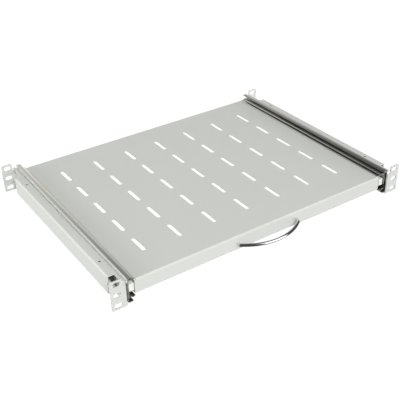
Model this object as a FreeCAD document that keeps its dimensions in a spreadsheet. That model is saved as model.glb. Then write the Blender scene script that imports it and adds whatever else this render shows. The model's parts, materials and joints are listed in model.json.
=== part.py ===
"""Sliding rack shelf: a slotted sheet-steel tray on two telescopic ball rails between rack brackets.

Millimetres. The origin is the middle of the plane on which the front ears seat, at half their
height. +X is to the right seen from the front, +Y goes into the rack and +Z is up.
"""
import FreeCAD, Part
import math
import os
import re
import Sketcher

# Driving sizes in millimetres
SIZES = {
    # Ears: the 19 inch rack standard, one rack unit high
    "panel_width": 482.6,
    "ear_height": 43.65,
    "ear_width": 20.8,
    "ear_hole_edge": 8.74,
    "hole_pitch": 15.875,
    "ear_slot_length": 11.0,
    "ear_slot_width": 6.8,
    "ear_corner": 2.0,
    "ear_relief": 4.5,
    "ear_relief_drop": 2.0,
    "relief_gap": 0.5,
    # Side brackets
    "bracket_sheet": 1.5,
    "bracket_bend": 1.5,
    "bracket_overhang": 7.0,
    "flange_drop": 6.4,
    "channel_width": 15.3,
    "channel_height": 26.2,
    "channel_front": 20.0,
    "channel_rear": 33.0,
    "flange_hole": 4.0,
    "flange_hole_front": 53.0,
    "flange_hole_rear": 60.0,
    # Tray
    "tray_depth": 338.0,
    "tray_setback": 3.0,
    "tray_drop": 12.5,
    "tray_sheet": 1.2,
    "tray_bend": 1.0,
    "lip_height": 21.0,
    "corner_seam": 0.4,
    "vent_length": 33.0,
    "vent_width": 6.0,
    "vent_pitch_across": 55.0,
    "vent_pitch_deep": 54.0,
    # Telescopic rails
    "rail_overhang": 4.0,
    "rail_height": 37.0,
    "rail_thickness": 12.7,
    "outer_gauge": 1.2,
    "middle_gauge": 1.0,
    "inner_gauge": 1.2,
    "ball_diameter": 4.0,
    "race_gap": 0.16,
    "outer_ball_inset": 5.2,
    "outer_corner": 1.4,
    "outer_lip": 0.3,
    "middle_lip": 1.2,
    "inner_lip": 0.35,
    "inner_shoulder": 0.1,
    "shoulder": 0.5,
    "middle_front": 1.0,
    "middle_shortfall": 4.5,
    "inner_setback": 3.0,
    # Ball cages
    "cage_gauge": 0.6,
    "cage_gap": 0.3,
    "cage_margin": 0.4,
    "cage_length": 150.0,
    "outer_cage_setback": 90.0,
    "inner_cage_setback": 96.0,
    "inner_cage_inset": 4.2,
    "inner_cage_sink": 0.6,
    "ball_pitch": 62.0,
    "window_gap": 0.3,
    # Nylon buffers on the rails
    "front_buffer_width": 7.0,
    "front_buffer_height": 10.8,
    "front_buffer_rise": -0.6,
    "front_buffer_length": 7.0,
    "rear_buffer_width": 6.8,
    "rear_buffer_height": 12.0,
    "rear_buffer_length": 5.0,
    "rear_buffer_gap": 0.3,
    # Screws that hold the inner rails to the tray
    "screw_shank": 4.0,
    "screw_gap": 0.1,
    "screw_head_flats": 7.0,
    "screw_head_height": 2.6,
    "screw_length": 5.5,
    "screw_front": 40.0,
    "screw_rear": 41.0,
    # Bow handle
    "handle_spacing": 99.0,
    "handle_reach": 22.5,
    "handle_rod": 4.5,
    "handle_bend": 5.0,
    "handle_stub": 2.0,
    "handle_drop": 12.5,
    "stud_diameter": 4.0,
    "stud_length": 7.0,
    "stud_gap": 0.1,
    "nut_flats": 7.0,
    "nut_height": 3.2,
}
VENT_COLUMNS = 7
VENT_ROWS = 5
VENT_END_FLATS = 6
EAR_SLOTS = 3
ROD_FLATS = 12
BALLS_IN_ROW = 3
HALF_ROOT = "sqrt(0.5)"

# Places that follow from the driving sizes, written as sums of them
EAR_X = "panel_width / 2"
EAR_TOP = "ear_height / 2"
HOLE_X = "(panel_width / 2 - ear_hole_edge)"
PLATE_OUT = "(panel_width / 2 - ear_width)"
PLATE_IN = f"({PLATE_OUT} - bracket_sheet)"
BEND_OUT = "(bracket_bend + bracket_sheet)"
REAR_EAR = "(tray_depth + bracket_overhang - 2 * bracket_sheet)"
FLANGE_TOP = f"({EAR_TOP} - flange_drop)"
PLATE_TOP = f"({FLANGE_TOP} - {BEND_OUT})"
RELIEF_FOOT = f"({PLATE_TOP} - ear_relief_drop)"
RELIEF_EDGE = f"({PLATE_OUT} + ear_relief)"
CHANNEL_OUT = f"({PLATE_IN} + channel_width)"
TRAY_X = f"({PLATE_IN} - rail_thickness)"
TRAY_TOP = f"({EAR_TOP} - tray_drop)"
TRAY_REAR = "(tray_setback + tray_depth)"
TRAY_BEND_OUT = "(tray_bend + tray_sheet)"
LIP_BOTTOM = f"({TRAY_TOP} - lip_height)"
LIP_TOP = f"({TRAY_TOP} - {TRAY_BEND_OUT})"
HANDLE_Z = f"({TRAY_TOP} - handle_drop)"

# Ball centres: inset is measured from the bracket towards the tray, rise from the rail's middle
RACE = "(ball_diameter / 2 + race_gap)"
OUTER_RISE = f"(rail_height / 2 - outer_gauge - {RACE})"
RACE_STEP = f"((2 * {RACE} + middle_gauge) * {HALF_ROOT})"
INNER_INSET = f"(outer_ball_inset + {RACE_STEP})"
INNER_RISE = f"({OUTER_RISE} - {RACE_STEP})"
MIDDLE_WEB = "(outer_gauge + 2 * cage_gap + cage_gauge)"
MIDDLE_FACE = f"({MIDDLE_WEB} + middle_gauge)"
MIDDLE_LENGTH = "(tray_depth - middle_shortfall)"
INNER_WEB = "(rail_thickness - inner_gauge)"

doc = FreeCAD.newDocument("sliding_rack_shelf")
sheet = doc.addObject("Spreadsheet::Sheet", "Sizes")
for row, (alias, number) in enumerate(SIZES.items(), start=1):
    sheet.set(f"A{row}", alias)
    sheet.set(f"B{row}", str(number))
    sheet.setAlias(f"B{row}", alias)
doc.recompute()
nodes = []


def bound(text):
    """The sum as the document's own expression, with each size read from the sheet."""
    return re.sub(r"[a-z_]+", lambda word: f"Sizes.{word[0]}" if word[0] in SIZES else word[0], text)


def value(text):
    """What the sum comes to now."""
    return float(sheet.evalExpression(text))


def keep(piece, label):
    """Name a finished sub-part and list it for writing."""
    piece.Label = label
    nodes.append(piece)
    return piece


def new_body(name):
    return doc.addObject("PartDesign::Body", f"{name}_body")


def new_sketch(body, plane, shift="0"):
    """A sketch on one of the body's planes, moved along the plane's normal."""
    sketch = body.newObject("Sketcher::SketchObject", f"{body.Name}_sketch")
    support = next(f for f in body.Origin.OriginFeatures if f.Role == plane)
    sketch.AttachmentSupport = [(support, "")]
    sketch.MapMode = "FlatFace"
    sketch.setExpression("AttachmentOffset.Base.z", bound(shift))
    return sketch


def fix_point(sketch, line, end, place):
    """Hold one end of a line or arc at a place given by two sums."""
    for kind, text in zip(("DistanceX", "DistanceY"), place):
        index = sketch.addConstraint(Sketcher.Constraint(kind, -1, 1, line, end, value(text)))
        sketch.setExpression(f"Constraints[{index}]", bound(text))


def draw(sketch, steps, closed=True):
    """Draw an outline. A step is (x, y) for a straight run to a corner, or
    (x, y, centre x, centre y, radius, turn) for an arc to it, with turn 1 anticlockwise."""
    spots = [FreeCAD.Vector(value(step[0]), value(step[1]), 0) for step in steps]
    ends = []
    for index in range(0 if closed else 1, len(steps)):
        here, there, step = spots[index - 1], spots[index], steps[index]
        if len(step) == 2:
            line = sketch.addGeometry(Part.LineSegment(here, there), False)
            ends.append((line, 1, 2))
        else:
            ends.append(draw_arc(sketch, here, there, step))
    for (line, _, last), (follower, first, _) in zip(ends, ends[1:]):
        sketch.addConstraint(Sketcher.Constraint("Coincident", line, last, follower, first))
    if closed:
        (first, start, _), (final, _, stop) = ends[0], ends[-1]
        sketch.addConstraint(Sketcher.Constraint("Coincident", final, stop, first, start))
    else:
        fix_point(sketch, ends[0][0], ends[0][1], steps[0][:2])
    for (line, _, last), step in zip(ends, steps if closed else steps[1:]):
        fix_point(sketch, line, last, step[:2])
    return ends


def draw_arc(sketch, here, there, step):
    """One arc of an outline, held by its radius. Returns it with its first and last end."""
    centre = FreeCAD.Vector(value(step[2]), value(step[3]), 0)
    turn = step[5]
    start, stop = (here, there) if turn > 0 else (there, here)
    circle = Part.Circle(centre, FreeCAD.Vector(0, 0, 1), value(step[4]))
    curve = Part.ArcOfCircle(circle, circle.parameter(start), circle.parameter(stop))
    line = sketch.addGeometry(curve, False)
    index = sketch.addConstraint(Sketcher.Constraint("Radius", line, value(step[4])))
    sketch.setExpression(f"Constraints[{index}]", bound(step[4]))
    return (line, 1, 2) if turn > 0 else (line, 2, 1)


def draw_rectangle(sketch, low, high):
    draw(sketch, [(low[0], low[1]), (high[0], low[1]), (high[0], high[1]), (low[0], high[1])])


def draw_circle(sketch, place, diameter):
    circle = Part.Circle(FreeCAD.Vector(value(place[0]), value(place[1]), 0), FreeCAD.Vector(0, 0, 1),
                         value(diameter) / 2)
    line = sketch.addGeometry(circle, False)
    fix_point(sketch, line, 3, place)
    index = sketch.addConstraint(Sketcher.Constraint("Diameter", line, value(diameter)))
    sketch.setExpression(f"Constraints[{index}]", bound(diameter))


def draw_slot(sketch, place, length, width):
    """A round-ended slot about a place, along the sketch's first axis."""
    reach = f"({length} - {width}) / 2"
    half = f"{width} / 2"
    corners = [(1, -1), (1, 1), (-1, 1), (-1, -1)]
    steps = [(f"{place[0]} + {x} * {reach}", f"{place[1]} + {y} * {half}") for x, y in corners]
    spots = [FreeCAD.Vector(value(x), value(y), 0) for x, y in steps]
    pieces = []
    for index in (0, 2):
        first, second, third = spots[index], spots[index + 1], spots[(index + 2) % 4]
        circle = Part.Circle((first + second) / 2, FreeCAD.Vector(0, 0, 1), value(half))
        end = Part.ArcOfCircle(circle, circle.parameter(first), circle.parameter(second))
        pieces.append(sketch.addGeometry(end, False))
        pieces.append(sketch.addGeometry(Part.LineSegment(second, third), False))
        fix_point(sketch, pieces[-1], 1, steps[index + 1])
    for index in range(4):
        sketch.addConstraint(Sketcher.Constraint("Tangent", pieces[index], 2, pieces[(index + 1) % 4], 1))
    index = sketch.addConstraint(Sketcher.Constraint("Radius", pieces[0], value(half)))
    sketch.setExpression(f"Constraints[{index}]", bound(half))


def draw_rod(sketch, place):
    """The handle's rod in section, rounded by narrow flats that are as far apart as the rod is thick."""
    radius = f"handle_rod / 2 / {math.cos(math.pi / ROD_FLATS):.6f}"
    turns = [2 * math.pi * (step + 0.5) / ROD_FLATS for step in range(ROD_FLATS)]
    corners = []
    for turn in turns:
        across_it = f"{place[0]} + {radius} * {math.cos(turn):.6f}"
        corners.append((across_it, f"{place[1]} + {radius} * {math.sin(turn):.6f}"))
    draw(sketch, corners)


def draw_vent(sketch, place):
    """A long vent. There are many, so each round end is drawn as a few flats."""
    reach = "(vent_length - vent_width) / 2"
    corners = []
    for end in (1, -1):
        for step in range(VENT_END_FLATS + 1):
            turn = math.pi * step / VENT_END_FLATS
            across_it = f"{place[0]} + vent_width / 2 * {end * math.cos(turn):.6f}"
            along_it = f"{place[1]} + {end} * ({reach} + vent_width / 2 * {math.sin(turn):.6f})"
            corners.append((across_it, along_it))
    draw(sketch, corners)


def pad(body, sketch, length, reverse=False, middle=False):
    feature = body.newObject("PartDesign::Pad", f"{body.Name}_pad")
    feature.Profile = sketch
    feature.setExpression("Length", bound(length))
    feature.Reversed = reverse
    feature.Midplane = middle
    return feature


def pocket(body, sketch, length, reverse=False, middle=False):
    """Cut a sketch into the body, and stop if it took nothing away."""
    doc.recompute()
    before = body.Shape.Volume
    feature = body.newObject("PartDesign::Pocket", f"{body.Name}_pocket")
    feature.Profile = sketch
    feature.setExpression("Length", bound(length))
    feature.Reversed = reverse
    feature.Midplane = middle
    doc.recompute()
    if body.Shape.Volume >= before:
        raise RuntimeError(f"{feature.Name} cuts nothing")
    return feature


def mirrored(half):
    """A closed outline from its upper half, which starts and ends on the two faces of the web."""
    lower = [(half[-1][0], f"-({half[-1][1]})")]
    for spot, step in zip(half[-2::-1], half[:0:-1]):
        point = (spot[0], f"-({spot[1]})")
        if len(step) == 6:
            point += (step[2], f"-({step[3]})", step[4], step[5])
        lower.append(point)
    return half + lower


def across(side, inset):
    """The place across the shelf of a point set in from a bracket's plate."""
    return f"{side} * ({PLATE_IN} - ({inset}))"


def make_bracket(name, side):
    """Rack bracket of one folded sheet: two ears, the plate between them and a channel on its top."""
    body = new_body(name)
    plan = new_sketch(body, "XY_Plane", f"-({EAR_TOP})")
    bend = f"({PLATE_OUT} + bracket_bend)"
    rear_back = f"({REAR_EAR} + bracket_sheet)"
    rear_bend = f"({REAR_EAR} - bracket_bend)"
    root = f"({RELIEF_EDGE} + ear_relief)"
    draw(plan, [
        (f"{side} * {root}", "-bracket_sheet"),
        (f"{side} * {bend}", "-bracket_sheet"),
        (f"{side} * {PLATE_IN}", "bracket_bend", f"{side} * {bend}", "bracket_bend", BEND_OUT, -side),
        (f"{side} * {PLATE_IN}", rear_bend),
        (f"{side} * {bend}", rear_back, f"{side} * {bend}", rear_bend, BEND_OUT, -side),
        (f"{side} * {root}", rear_back),
        (f"{side} * {root}", REAR_EAR),
        (f"{side} * {bend}", REAR_EAR),
        (f"{side} * {PLATE_OUT}", rear_bend, f"{side} * {bend}", rear_bend, "bracket_bend", side),
        (f"{side} * {PLATE_OUT}", "bracket_bend"),
        (f"{side} * {bend}", "0", f"{side} * {bend}", "bracket_bend", "bracket_bend", side),
        (f"{side} * {root}", "0"),
    ])
    pad(body, plan, f"{EAR_TOP} + {RELIEF_FOOT}")
    make_ear(body, side, "0")
    make_ear(body, side, f"({REAR_EAR} + bracket_sheet)")
    make_flange(body, side)
    make_channel(body, side)
    doc.recompute()
    for face in ("bracket_sheet", f"-({REAR_EAR})"):
        slots = new_sketch(body, "XZ_Plane", face)
        for row in range(EAR_SLOTS):
            height = f"{row - (EAR_SLOTS - 1) // 2} * hole_pitch"
            draw_slot(slots, (f"{side} * {HOLE_X}", height), "ear_slot_length", "ear_slot_width")
        pocket(body, slots, "bracket_sheet")
    holes = new_sketch(body, "XY_Plane", FLANGE_TOP)
    middle = f"{side} * ({PLATE_IN} + channel_width / 2)"
    for place in ("flange_hole_front", f"({REAR_EAR} - flange_hole_rear)"):
        draw_circle(holes, (middle, place), "flange_hole")
    pocket(body, holes, "bracket_sheet")
    return keep(body, name)


def make_ear(body, side, back):
    """The full height of an ear, outside the relief beside its bend."""
    face = new_sketch(body, "XZ_Plane", f"-({back})")
    inner = f"{side} * {RELIEF_EDGE}"
    outer = f"{side} * {EAR_X}"
    round_x = f"{side} * ({EAR_X} - ear_corner)"
    round_z = f"({EAR_TOP} - ear_corner)"
    draw(face, [
        (inner, f"-({EAR_TOP})"),
        (round_x, f"-({EAR_TOP})"),
        (outer, f"-{round_z}", round_x, f"-{round_z}", "ear_corner", side),
        (outer, round_z),
        (round_x, EAR_TOP, round_x, round_z, "ear_corner", side),
        (inner, EAR_TOP),
    ])
    pad(body, face, "bracket_sheet")


def make_flange(body, side):
    """The narrow flange bent out from the plate's top, which runs past the posts to the ears' reliefs."""
    strip = new_sketch(body, "XZ_Plane", "-bracket_bend")
    near = f"{side} * ({PLATE_IN} + {BEND_OUT})"
    edge = f"{side} * ({RELIEF_EDGE} - relief_gap)"
    underside = f"({FLANGE_TOP} - bracket_sheet)"
    draw(strip, [
        (f"{side} * {PLATE_IN}", RELIEF_FOOT),
        (f"{side} * {PLATE_IN}", PLATE_TOP),
        (near, FLANGE_TOP, near, PLATE_TOP, BEND_OUT, -side),
        (edge, FLANGE_TOP),
        (edge, underside),
        (near, underside),
        (f"{side} * {PLATE_OUT}", PLATE_TOP, near, PLATE_TOP, "bracket_bend", side),
        (f"{side} * {PLATE_OUT}", RELIEF_FOOT),
    ])
    pad(body, strip, f"{REAR_EAR} - 2 * bracket_bend", reverse=True)


def make_channel(body, side):
    """The stiffening channel between the rack posts: a wider flange and a wall bent down from it."""
    hook = new_sketch(body, "XZ_Plane", "-channel_front")
    near = f"{side} * ({PLATE_IN} + {BEND_OUT})"
    far = f"{side} * ({CHANNEL_OUT} - {BEND_OUT})"
    far_face = f"{side} * ({CHANNEL_OUT} - bracket_sheet)"
    underside = f"({FLANGE_TOP} - bracket_sheet)"
    foot = f"({FLANGE_TOP} - channel_height)"
    draw(hook, [
        (near, FLANGE_TOP),
        (far, FLANGE_TOP),
        (f"{side} * {CHANNEL_OUT}", PLATE_TOP, far, PLATE_TOP, BEND_OUT, -side),
        (f"{side} * {CHANNEL_OUT}", foot),
        (far_face, foot),
        (far_face, PLATE_TOP),
        (far, underside, far, PLATE_TOP, "bracket_bend", side),
        (near, underside),
    ])
    pad(body, hook, f"{REAR_EAR} - channel_front - channel_rear", reverse=True)


def make_rail(name, side, half, front, length, holes=None):
    """A roll-formed rail: its section drawn from the upper half and run the rail's length."""
    body = new_body(name)
    section = new_sketch(body, "XZ_Plane")
    steps = []
    for step in mirrored(half):
        place = (across(side, step[0]), step[1])
        if len(step) == 6:
            place += (across(side, step[2]), step[3], step[4], -side * step[5])
        steps.append(place)
    draw(section, steps)
    pad(body, section, length, reverse=True)
    body.setExpression("Placement.Base.y", bound(front))
    if holes:
        marks = new_sketch(body, "YZ_Plane")
        for place in holes:
            draw_circle(marks, (f"{place} - ({front})", "0"), "screw_shank + 2 * screw_gap")
        pocket(body, marks, f"4 * {PLATE_IN}", middle=True)
    return keep(body, name)


def off(point, length, x_sign, z_sign):
    """A point moved along a 45 degree slope."""
    across_it, up_it = (f"{sign} * {length} * {HALF_ROOT}" for sign in (x_sign, z_sign))
    return (f"({point[0]} + {across_it})", f"({point[1]} + {up_it})")


def chord(radius, rise):
    """Half the width of a circle at a height from its centre."""
    return f"sqrt({radius} * {radius} - ({rise}) * ({rise}))"


OUTER_BALL = ("outer_ball_inset", OUTER_RISE)
INNER_BALL = (INNER_INSET, INNER_RISE)


def arc(point, centre, radius, turn):
    return point + centre + (radius, turn)


def outer_section():
    """Upper half of the rail that is fixed to the bracket: its flat top curls down over the outer race."""
    skin = f"({RACE} + outer_gauge)"
    right, race_right = off(OUTER_BALL, skin, 1, 1), off(OUTER_BALL, RACE, 1, 1)
    top, ceiling = "(rail_height / 2)", "(rail_height / 2 - outer_gauge)"
    corner = ("outer_corner", f"({top} - outer_corner)")
    return [
        ("0", corner[1]),
        arc(("outer_corner", top), corner, "outer_corner", -1),
        ("outer_ball_inset", top),
        arc(right, OUTER_BALL, skin, -1),
        off(right, "outer_lip", 1, -1),
        off(race_right, "outer_lip", 1, -1),
        race_right,
        arc(("outer_ball_inset", ceiling), OUTER_BALL, RACE, 1),
        ("outer_corner", ceiling),
        ("outer_gauge", corner[1]),
    ]


def middle_section():
    """Upper half of the rail between: a groove over its flange and a race under it."""
    skin = f"({RACE} + middle_gauge)"
    groove_left, groove_right = off(OUTER_BALL, RACE, -1, -1), off(OUTER_BALL, RACE, 1, -1)
    peak = off(groove_left, "shoulder", -1, 1)
    under = off(OUTER_BALL, skin, 1, -1)
    lip, race = off(INNER_BALL, skin, 1, 1), off(INNER_BALL, RACE, 1, 1)
    drop = chord(skin, f"outer_ball_inset - {MIDDLE_FACE}")
    return [
        (MIDDLE_WEB, f"({peak[1]} - {peak[0]} + {MIDDLE_WEB})"),
        peak,
        groove_left,
        arc(groove_right, OUTER_BALL, RACE, 1),
        arc(lip, INNER_BALL, skin, -1),
        off(lip, "middle_lip", 1, -1),
        off(race, "middle_lip", 1, -1),
        race,
        arc(under, INNER_BALL, RACE, 1),
        arc((MIDDLE_FACE, f"({OUTER_RISE} - {drop})"), OUTER_BALL, skin, -1),
    ]


def inner_section():
    """Upper half of the rail that is fixed to the tray: a groove over its flange."""
    skin = f"({RACE} + inner_gauge)"
    left, groove_left = off(INNER_BALL, skin, -1, -1), off(INNER_BALL, RACE, -1, -1)
    shelf = f"({INNER_RISE} - {RACE} + inner_shoulder)"
    underside = f"({shelf} - inner_gauge)"
    groove_end = f"({INNER_INSET} + {chord(RACE, f'{INNER_RISE} - {shelf}')})"
    skin_end = f"({INNER_INSET} + {chord(skin, f'{INNER_RISE} - {underside}')})"
    return [
        (INNER_WEB, f"({underside} - shoulder)"),
        (f"({INNER_WEB} - shoulder)", underside),
        (skin_end, underside),
        arc(left, INNER_BALL, skin, -1),
        off(left, "inner_lip", -1, 1),
        off(groove_left, "inner_lip", -1, 1),
        groove_left,
        arc((groove_end, shelf), INNER_BALL, RACE, 1),
        (INNER_WEB, shelf),
        ("rail_thickness", underside),
    ]


def outer_cage_section():
    """Upper half of the cage between the outer and middle rails, bent to clear both."""
    web = "(outer_gauge + cage_gap)"
    race_left = off(OUTER_BALL, RACE, -1, 1)
    slope = f"({race_left[1]} - {race_left[0]} - cage_gap / {HALF_ROOT})"
    slope_under = f"({slope} - cage_gauge / {HALF_ROOT})"
    top, bottom = f"({OUTER_RISE} + cage_gauge / 2)", f"({OUTER_RISE} - cage_gauge / 2)"
    edge = f"(outer_ball_inset + {RACE} + cage_margin / 2)"
    return [
        (web, f"({web} + {slope})"),
        (f"({top} - {slope})", top),
        (edge, top),
        (edge, bottom),
        (f"({bottom} - {slope_under})", bottom),
        (f"({web} + cage_gauge)", f"({web} + cage_gauge + {slope_under})"),
    ]


def inner_cage_section():
    """Upper half of the cage between the middle and inner rails."""
    top = f"({INNER_RISE} + cage_gauge - inner_cage_sink)"
    bottom = f"({INNER_RISE} - inner_cage_sink)"
    edge = f"({INNER_INSET} + {RACE} + cage_margin / 2)"
    return [
        ("inner_cage_inset", top),
        (edge, top),
        (edge, bottom),
        ("(inner_cage_inset + cage_gauge)", bottom),
    ]


def ball_place(step):
    """How far back a ball lies from its cage's front end."""
    return f"(cage_length / 2 + {step - (BALLS_IN_ROW - 1) // 2} * ball_pitch)"


def make_cage(name, side, half, ball, front):
    """A pressed ball cage with a window for each ball in its upper and lower flange."""
    cage = make_rail(name, side, half, front, "cage_length")
    windows = new_sketch(cage, "XY_Plane")
    reach = "(ball_diameter / 2 + window_gap)"
    for step in range(BALLS_IN_ROW):
        middle = ball_place(step)
        low = (across(side, f"{ball[0]} - {side} * {reach}"), f"({middle} - {reach})")
        high = (across(side, f"{ball[0]} + {side} * {reach}"), f"({middle} + {reach})")
        draw_rectangle(windows, low, high)
    pocket(cage, windows, "2 * rail_height", middle=True)


def make_balls(name, side, ball, front):
    """The balls of one cage. Each is a cube with its edges cut so that its corners lie on the ball."""
    balls = []
    width = "(ball_diameter * (1 + sqrt(2)) / sqrt(5 + 2 * sqrt(2)))"
    cut = value(f"{width} / (2 + sqrt(2))")
    for step in range(BALLS_IN_ROW):
        for row in (1, -1):
            cube = doc.addObject("Part::Box", f"{name}_cube")
            for edge in ("Length", "Width", "Height"):
                cube.setExpression(edge, bound(width))
            centre = (across(side, ball[0]), f"{front} + {ball_place(step)}", f"{row} * {ball[1]}")
            for axis, text in zip("xyz", centre):
                cube.setExpression(f"Placement.Base.{axis}", bound(f"{text} - {width} / 2"))
            doc.recompute()
            rounded = doc.addObject("Part::Chamfer", f"{name}_ball")
            rounded.Base = cube
            rounded.Edges = [(number + 1, cut, cut) for number in range(len(cube.Shape.Edges))]
            balls.append(rounded)
    return group(name, balls)


def group(name, pieces):
    """Like pieces that share a node, each a solid of its own."""
    piece = doc.addObject("Part::Compound", f"{name}_set")
    piece.Links = pieces
    return keep(piece, name)


def make_buffer(name, side, seat, way, width, low, height, front, length):
    """A nylon buffer block with its edges broken, seated on a rail's web. Way 1 is towards the tray."""
    body = new_body(name)
    face = new_sketch(body, "XZ_Plane")
    near, far = across(side, seat), across(side, f"{seat} + {way} * {width}")
    edge = across(side, f"{seat} + {way} * ({width} - shoulder)")
    draw(face, [
        (near, low),
        (edge, low),
        (far, f"({low} + shoulder)"),
        (far, f"({low} + {height} - shoulder)"),
        (edge, f"({low} + {height})"),
        (near, f"({low} + {height})"),
    ])
    pad(body, face, length, reverse=True)
    body.setExpression("Placement.Base.y", bound(front))
    return keep(body, name)


def make_tray():
    """Slotted pan of one sheet, folded down on all four sides with open seams at the corners."""
    body = new_body("tray")
    inner_x = f"({TRAY_X} - tray_sheet)"
    bend_x = f"({TRAY_X} - {TRAY_BEND_OUT})"
    underside = f"({TRAY_TOP} - tray_sheet)"
    sides = new_sketch(body, "XZ_Plane", "-(tray_setback + tray_sheet + corner_seam)")
    draw(sides, fold(TRAY_X, f"-({TRAY_X})", inner_x, f"-{inner_x}", bend_x, f"-{bend_x}", underside))
    pad(body, sides, "tray_depth - 2 * (tray_sheet + corner_seam)", reverse=True)
    ends = new_sketch(body, "YZ_Plane")
    draw(ends, fold(TRAY_REAR, "tray_setback", f"({TRAY_REAR} - tray_sheet)", "(tray_setback + tray_sheet)",
                    f"({TRAY_REAR} - {TRAY_BEND_OUT})", f"(tray_setback + {TRAY_BEND_OUT})", underside))
    pad(body, ends, f"2 * {bend_x}", middle=True)
    for face in ("tray_setback", f"({TRAY_REAR} - tray_sheet)"):
        lip = new_sketch(body, "XZ_Plane", f"-({face})")
        draw_rectangle(lip, (f"-({TRAY_X})", LIP_BOTTOM), (TRAY_X, LIP_TOP))
        pad(body, lip, "tray_sheet", reverse=True)
    marks = new_sketch(body, "XZ_Plane", "-tray_setback")
    for side in (-1, 1):
        draw_circle(marks, (f"{side} * handle_spacing / 2", HANDLE_Z), "stud_diameter + 2 * stud_gap")
    pocket(body, marks, "tray_sheet")
    marks = new_sketch(body, "YZ_Plane")
    for place in screw_places():
        draw_circle(marks, (place, "0"), "screw_shank + 2 * screw_gap")
    pocket(body, marks, f"2 * ({TRAY_X} + tray_sheet)", middle=True)
    vents = new_sketch(body, "XY_Plane", TRAY_TOP)
    first = f"-{(VENT_COLUMNS - 1) // 2} * vent_pitch_across"
    for row in range(VENT_ROWS):
        place = f"(tray_setback + tray_depth / 2 + {row - (VENT_ROWS - 1) // 2} * vent_pitch_deep)"
        draw_vent(vents, (first, place))
    column = pocket(body, vents, "tray_sheet")
    columns = body.newObject("PartDesign::LinearPattern", "tray_vents")
    columns.Originals = [column]
    columns.Direction = (next(f for f in body.Origin.OriginFeatures if f.Role == "X_Axis"), [""])
    columns.setExpression("Length", bound(f"{VENT_COLUMNS - 1} * vent_pitch_across"))
    columns.Occurrences = VENT_COLUMNS
    body.Tip = columns
    return keep(body, "tray")


def fold(high, low, high_face, low_face, high_bend, low_bend, underside):
    """Section of the tray: the top between two lips, with round bends."""
    return [
        (low, LIP_BOTTOM),
        (low_face, LIP_BOTTOM),
        (low_face, LIP_TOP),
        (low_bend, underside, low_bend, LIP_TOP, "tray_bend", -1),
        (high_bend, underside),
        (high_face, LIP_TOP, high_bend, LIP_TOP, "tray_bend", -1),
        (high_face, LIP_BOTTOM),
        (high, LIP_BOTTOM),
        (high, LIP_TOP),
        (high_bend, TRAY_TOP, high_bend, LIP_TOP, TRAY_BEND_OUT, 1),
        (low_bend, TRAY_TOP),
        (low, LIP_TOP, low_bend, LIP_TOP, TRAY_BEND_OUT, 1),
    ]


def screw_places():
    return ["screw_front", f"({TRAY_REAR} - screw_rear)"]


def place_piece(piece, place, turn):
    """Set a round or six-sided piece at a place, turned so that its axis lies along the shelf."""
    piece.Placement.Rotation = turn
    for axis, text in zip("xyz", place):
        piece.setExpression(f"Placement.Base.{axis}", bound(text))


def hexagon(name, flats, height, place, turn):
    prism = doc.addObject("Part::Prism", name)
    prism.Polygon = 6
    prism.setExpression("Circumradius", bound(f"{flats} / sqrt(3)"))
    prism.setExpression("Height", bound(height))
    place_piece(prism, place, turn)
    return prism


def cylinder(name, radius, height, place, turn):
    rod = doc.addObject("Part::Cylinder", name)
    rod.setExpression("Radius", bound(radius))
    rod.setExpression("Height", bound(height))
    place_piece(rod, place, turn)
    return rod


def make_screws(name, side):
    """Hexagon-head screws that hold an inner rail to the side of the tray."""
    inwards = FreeCAD.Rotation(FreeCAD.Vector(0, 0, 1), FreeCAD.Vector(-side, 0, 0))
    screws = []
    for place in screw_places():
        seat = (across(side, INNER_WEB), place, "0")
        crown = (across(side, f"{INNER_WEB} - screw_head_height"), place, "0")
        head = hexagon(f"{name}_head", "screw_head_flats", "screw_head_height", crown, inwards)
        shank = cylinder(f"{name}_shank", "screw_shank / 2", "screw_length", seat, inwards)
        screw = doc.addObject("Part::Fuse", f"{name}_screw")
        screw.Base = head
        screw.Tool = shank
        screws.append(screw)
    return group(name, screws)


def revolve(body, sketch, angle, reverse=False, middle=False):
    """Turn a sketch about the construction line drawn in it."""
    feature = body.newObject("PartDesign::Revolution", f"{body.Name}_turn")
    feature.Profile = sketch
    feature.ReferenceAxis = (sketch, ["Axis0"])
    feature.setExpression("Angle", bound(angle))
    feature.Reversed = reverse
    feature.Midplane = middle
    return feature


def draw_axis(sketch, place):
    """An upright construction line through a place."""
    foot = FreeCAD.Vector(value(place), 0, 0)
    line = sketch.addGeometry(Part.LineSegment(foot, foot + FreeCAD.Vector(0, 1, 0)), True)
    fix_point(sketch, line, 1, (place, "0"))
    fix_point(sketch, line, 2, (place, "1"))


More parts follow.
